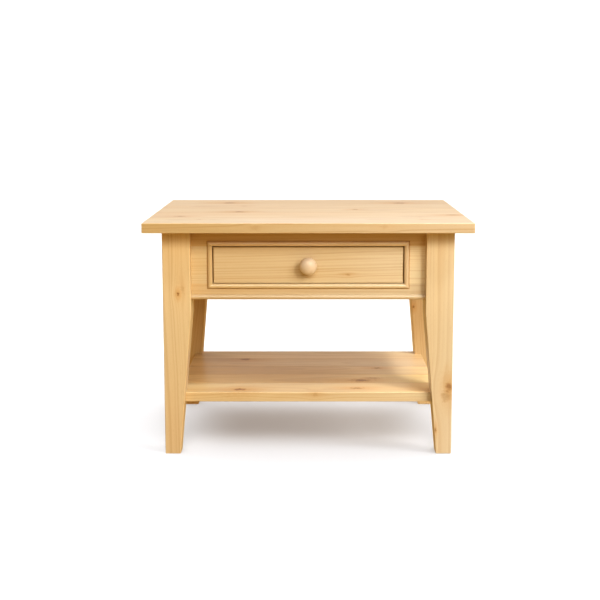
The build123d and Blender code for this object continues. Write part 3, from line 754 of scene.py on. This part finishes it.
def dress_frame_rails():
    """Rails and stiles round the drawer, the aprons, and all the beads."""
    for name, finish, pith, ring, seed in (
        ("front_top_rail", FIGURED, (50, 44), 3.4, 31.0),
        ("front_bottom_rail", FIGURED, (54, -40), 3.6, 32.0),
        ("front_stile_left", STILE_VARNISH, (52, 40), 3.4, 33.0),
        ("front_stile_right", STILE_VARNISH, (50, -42), 3.4, 34.0),
    ):
        # The rails and stiles carry painted shade round the opening's beads and in the drawer's
        # gap.
        pine(name, finish, "x", pith, (0.005, 0.008), ring, seed, sway=5, varnish="corner_shade")
    pine("side_apron_left", VARNISH, "y", (-64, 12), (0.020, 0.006), 4.2, 35.0)
    pine("side_apron_right", VARNISH, "y", (58, -18), (0.018, -0.008), 3.9, 36.0, knots=[
        ((274, 44, 380), 8, RIGHT, 1.2, 1.0),
    ])
    pine("back_apron", VARNISH, "x", (-62, 20), (0.012, 0.018), 4.4, 37.0, knots=[
        ((-120, 160, 410), 10, BACK, 1.2, 1.0), ((150, 160, 362), 7, BACK, 1.2, 1.0),
    ])
    for name, grain, seed in (
        ("opening_bead_top", "x", 41.0),
        ("opening_bead_bottom", "x", 42.0),
        ("opening_bead_left", "z", 43.0),
        ("opening_bead_right", "z", 44.0),
        ("front_bead", "x", 45.0),
        ("side_bead_left", "y", 46.0),
        ("side_bead_right", "y", 47.0),
    ):
        pine(name, BEAD_VARNISH, grain, (48, 30), (0.004, 0.006), 2.6, seed, sway=4)


def dress_drawer():
    """The varnished front, and the sanded sides and back that nobody sees when it is shut."""
    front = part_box("drawer_front")[0].y / MM
    # The front's arrises and narrow edges carry painted shade from the gap round it.
    pine("drawer_front", FIGURED, "x", (62, 74), (0.020, 0.010), 4.4, 51.0, [
        ((80, front, 368), 3.0, FRONT, 2.2, 0.42),
    ], sway=6.0, varnish="gap_shade")
    pine("drawer_side_left", SANDED, "y", (-60, 22), (0.02, 0.01), 3.8, 52.0)
    pine("drawer_side_right", SANDED, "y", (54, -26), (0.016, 0.012), 3.5, 53.0)
    pine("drawer_back", SANDED, "x", (52, 18), (0.014, 0.018), 3.9, 54.0)


def dress_inner_parts():
    """Planed strips that carry and steer the drawer."""
    for name, grain, seed in (
        ("drawer_runner_left", "y", 61.0),
        ("drawer_runner_right", "y", 62.0),
        ("drawer_guide_left", "y", 63.0),
        ("drawer_guide_right", "y", 64.0),
        ("drawer_kicker_left", "y", 65.0),
        ("drawer_kicker_right", "y", 66.0),
    ):
        pine(name, PLANED, grain, (38, -44), (0.01, 0.012), 3.6, seed)


def beech(name, grain):
    """Planed beech: close, plain and pinkish, with short dark flecks."""
    material, sheet = new_material(f"{name}_beech")
    coords, place = board_place(sheet, name, grain)
    fleck, _ = sheet.noise(place, (320, 1500, 1500), 1.0)
    fleck = sheet.ease(fleck, 0.58, 0.70)
    figure, _ = sheet.noise(place, (12, 150, 150), 3.0)
    colour = sheet.mix(figure, (0.600, 0.370, 0.205, 1), (0.470, 0.270, 0.135, 1))
    colour = sheet.mix(sheet.calc("MULTIPLY", fleck, 0.45), colour, (0.27, 0.13, 0.06, 1))
    end = sheet.faces(coords["Normal"], GRAIN[grain][0], 0.6, 0.95, 0.0, 0.5)
    close_material(
        sheet,
        {
            "Base Color": sheet.stain(end, colour, (0.72, 0.64, 0.56, 1)),
            "Roughness": sheet.calc("MULTIPLY_ADD", figure, 0.15, 0.5),
            "Normal": sheet.bump(fleck, 0.2, 0.0002),
        },
    )
    dress(name, material)


def knob_wood(name):
    """Turned, pale and pinkish, its rings showing as arcs on the crown, varnished."""
    material, sheet = new_material("turned_knob_wood")
    _, place = board_place(sheet, name, "y")
    board = plank(
        sheet,
        {
            "Place": place,
            "Seed": (7.3, 2.1, 5.9),
            "Pith": (0, 0.030, -0.034),
            "Lean": (0, 0.05, 0.02),
            "Ring": 0.0021,
            "Sway": 0.004,
            "Rings": 0.42,
            "Streaks": 0.42,
            "Tone": (*PLAIN, 1),
            "Pale": (0.780, 0.652, 0.492, 1),
            "Dark": (0.640, 0.475, 0.310, 1),
            "End": 0.0,
            "Arris": 0.0,
        },
    )
    close_material(
        sheet,
        {
            "Base Color": board["Colour"],
            "Roughness": sheet.calc("ADD", board["Dullness"], 0.42),
            "Normal": sheet.bump(board["Height"], 0.15, 0.0003),
            "Coat Weight": 0.9,
            "Coat Roughness": 0.50,
        },
    )
    dress(name, material)


def plywood(name):
    """Thin birch plywood: quiet rotary figure on the faces, three plies on the edges."""
    material, sheet = new_material("birch_plywood")
    coords, place = board_place(sheet, name, "x")
    warp, _ = sheet.noise(place, (4, 9, 1), 2.0)
    peel = sheet.vec("ADD", place, sheet.scaled((0, 1, 0), sheet.calc("MULTIPLY", warp, 0.12)))
    figure, _ = sheet.noise(peel, (5, 46, 46), 3.0, 0.6)
    fibre, _ = sheet.noise(place, (40, 900, 900), 2.0)
    face = sheet.mix(sheet.ease(figure, 0.3, 0.7), (0.74, 0.58, 0.38, 1), (0.62, 0.44, 0.255, 1))
    face = sheet.mix(sheet.calc("MULTIPLY", fibre, 0.25), face, (0.55, 0.38, 0.22, 1))
    from_middle = sheet.calc("ABSOLUTE", sheet.parts(place)["Z"])
    core = sheet.ease(from_middle, 0.0008, 0.0010, 1.0, 0.0)
    edge = sheet.mix(core, (0.62, 0.45, 0.27, 1), (0.36, 0.225, 0.12, 1))
    close_material(
        sheet,
        {
            "Base Color": sheet.mix(sheet.faces(coords["Normal"], UP, 0.4, 0.7), edge, face),
            "Roughness": sheet.calc("MULTIPLY_ADD", figure, 0.12, 0.62),
            "Normal": sheet.bump(fibre, 0.2, 0.0002),
        },
    )
    dress(name, material)


def zinc_steel(names):
    """Bright zinc over steel: a faint milky bloom and turning marks."""
    material, sheet = new_material("zinc_plated_steel")
    place = sheet.put("ShaderNodeTexCoord").outputs["Object"]
    bloom, _ = sheet.noise(place, (700, 700, 700), 3.0)
    scuff, _ = sheet.noise(place, (2600, 2600, 900), 2.0)
    close_material(
        sheet,
        {
            "Base Color": sheet.mix(bloom, (0.66, 0.67, 0.66, 1), (0.50, 0.50, 0.47, 1)),
            "Metallic": 1.0,
            "Roughness": sheet.calc("MULTIPLY_ADD", bloom, 0.25, 0.22),
            "Normal": sheet.bump(scuff, 0.15, 0.0001),
        },
    )
    for name in names:
        dress(name, material)


def dress_small_parts():
    """What isn't pine: the drawer's bottom, the knob, the beech pieces and the screws."""
    plywood("drawer_bottom")
    knob_wood("drawer_knob")
    for name, grain in (
        ("top_buttons", "x"),
        ("turn_button", "z"),
        ("shelf_dowels", "x"),
        ("drawer_inner_stop_left", "x"),
        ("drawer_inner_stop_right", "x"),
    ):
        beech(name, grain)
    zinc_steel(
        (
            "drawer_bottom_screws",
            "knob_screw",
            "knob_washer",
            "top_button_screws",
            "turn_button_screw",
        )
    )


def glowing_paper(sheet, colour, glow):
    """Matt paper that gives off some light of its own, so that it stays white."""
    close_material(
        sheet,
        {
            "Base Color": colour,
            "Roughness": 0.95,
            "Specular IOR Level": 0.0,
            "Emission Color": (1, 1, 1, 1),
            "Emission Strength": glow,
        },
    )


def stage_piece(name, shape, paper, unseen_by):
    """A part of the studio. unseen_by names the rays that pass through it."""
    mesh = bpy.data.meshes.new(name)
    shape.to_mesh(mesh)
    shape.free()
    mesh.materials.append(paper)
    thing = bpy.data.objects.new(name, mesh)
    bpy.context.scene.collection.objects.link(thing)
    for ray in unseen_by:
        setattr(thing, f"visible_{ray}", False)
    return thing


def lay_floor():
    """A wide sheet of lit white paper that runs out into the white round it."""
    paper, sheet = new_material("white_paper_floor")
    place = sheet.put("ShaderNodeTexCoord").outputs["Object"]
    tooth, _ = sheet.noise(place, (220, 220, 220), 3.0)
    colour = sheet.mix(tooth, (0.348, 0.355, 0.369, 1), (0.338, 0.345, 0.359, 1))
    glowing_paper(sheet, colour, 0.338)
    shape = bmesh.new()
    bmesh.ops.create_grid(shape, x_segments=2, y_segments=2, size=FLOOR_REACH)
    bmesh.ops.translate(shape, verts=shape.verts, vec=(0, 0, cad_box[0].z))
    return stage_piece("studio_floor", shape, paper, ("diffuse", "glossy", "shadow"))


def stand_wall():
    """A far white wall all round, seen by the camera alone, so every side has a white ground."""
    paper, sheet = new_material("white_wall")
    glowing_paper(sheet, (0.9, 0.9, 0.9, 1), 1.2)
    shape = bmesh.new()
    bmesh.ops.create_cone(
        shape, segments=48, radius1=WALL_AWAY, radius2=WALL_AWAY, depth=WALL_HEIGHT
    )
    stage_piece("studio_wall", shape, paper, ("diffuse", "glossy", "transmission", "shadow"))


def hang_lamp(name, lamp, place, toward):
    """toward points from what the lamp lights to the lamp."""
    holder = bpy.data.objects.new(name, lamp)
    bpy.context.scene.collection.objects.link(holder)
    holder.location = place
    holder.rotation_mode = "QUATERNION"
    holder.rotation_quaternion = Vector(toward).to_track_quat("Z", "Y")
    holder.visible_camera = False
    return holder


def far_lamp(name, toward, strength, width):
    """A lamp so far off that its light is even: width is its size in degrees."""
    lamp = bpy.data.lights.new(name, "SUN")
    lamp.energy = strength
    lamp.angle = math.radians(width)
    return hang_lamp(name, lamp, (0, 0, 3), toward)


def softbox(name, right, up, away, watts, wide, high):
    """right and up are degrees round and above the table's front, away is in metres."""
    lamp = bpy.data.lights.new(name, "AREA")
    lamp.energy = watts
    lamp.shape = "RECTANGLE"
    lamp.size = wide
    lamp.size_y = high
    right, up = math.radians(right), math.radians(up)
    toward = Vector(
        (math.cos(up) * math.sin(right), -math.cos(up) * math.cos(right), math.sin(up))
    )
    return hang_lamp(name, lamp, Vector(LIT_MIDDLE) + toward * away, toward)


def lit_by(lamps, name, thing, state):
    """These lamps light only the thing, or everything but the thing."""
    group = bpy.data.collections.new(name)
    group.objects.link(thing)
    group.collection_objects[0].light_linking.link_state = state
    for lamp in lamps:
        lamp.light_linking.receiver_collection = group


def surround_studio():
    """Pale bands behind the table, dark overhead and in front, a warm bounce from below."""
    world = bpy.data.worlds.new("studio_white")
    bpy.context.scene.world = world
    world.use_nodes = True
    world.node_tree.nodes.clear()
    sheet = Sheet(world.node_tree)
    _, behind, height = sheet.parts(sheet.put("ShaderNodeTexCoord").outputs["Generated"])
    dark = (0, 0, 0, 1)
    cool_low = (0.75, 0.79, 0.88, 1)
    warm_middle = (0.76, 0.61, 0.42, 1)
    white_high = (1.24, 1.18, 1.14, 1)
    floor_bounce = (0.69, 0.45, 0.15, 1)
    colour = sheet.mix(sheet.ease(height, 0.21, 0.31), cool_low, warm_middle)
    colour = sheet.mix(sheet.ease(height, 0.53, 0.62), colour, white_high)
    colour = sheet.mix(sheet.ease(height, 0.84, 0.89), colour, dark)
    colour = sheet.mix(sheet.ease(behind, -0.15, 0.15), dark, colour)
    colour = sheet.mix(sheet.ease(height, -0.012, -0.035), colour, floor_bounce)
    background = sheet.put("ShaderNodeBackground", {"Color": colour, "Strength": 1.0})
    sheet.put("ShaderNodeOutputWorld", {"Surface": background.outputs["Background"]})


def hang_lamps(floor):
    """Softboxes and a high lamp for the table, and lamps of its own for the floor's shadow."""
    table_lamps = [
        far_lamp("high_lamp", (0.455, -0.367, 1.0), 1.13, 8),
        softbox("high_softbox", 58, 65, 2.3, 18, 1.2, 1.2),
        softbox("key_softbox", 30, 32, 5.2, 84, 1.1, 1.1),
        softbox("front_softbox", -2, 31, 5.2, 84, 2.6, 1.9),
        softbox("side_softbox_high", 56, 33, 5.2, 66, 2.6, 1.9),
    ]
    unmirrored_lamps = [
        softbox("side_softbox_low", 36, 18, 5.2, 80, 2.6, 1.9),
        softbox("back_softbox", 228, 8, 5.2, 125, 2.6, 1.9),
    ]
    for lamp in unmirrored_lamps:
        lamp.visible_glossy = False
    lit_by(table_lamps + unmirrored_lamps, "table_lamps_light", floor, "EXCLUDE")
    floor_lamps = [
        far_lamp("floor_lamp_above", (0, 0, 1), 5.15, 100),
        far_lamp("floor_lamp_front", (0, -1, 1), 2.1, 25),
        far_lamp("floor_lamp_right", (1, -0.3, 0.4), 3.06, 25),
    ]
    lit_by(floor_lamps, "floor_lamps_light", floor, "INCLUDE")


def place_camera():
    """In front of the table's middle, a little above its top, looking slightly down."""
    camera = bpy.data.cameras.new("camera")
    camera.lens = 60.0
    camera.sensor_width = 36.0
    camera.shift_x = -0.0138
    camera.shift_y = -0.12
    camera.clip_end = 200.0
    stand = bpy.data.objects.new("camera", camera)
    bpy.context.scene.collection.objects.link(stand)
    stand.location = CAMERA_PLACE
    stand.rotation_euler = (math.radians(90 - CAMERA_DIP), 0, 0)
    bpy.context.scene.camera = stand


dress_top()
dress_shelf()
dress_legs()
dress_frame_rails()
dress_drawer()
dress_inner_parts()
dress_small_parts()
studio_floor = lay_floor()
stand_wall()
surround_studio()
hang_lamps(studio_floor)
place_camera()
bpy.context.scene.view_settings.view_transform = "Standard"
bpy.context.scene.view_settings.gamma = 0.8
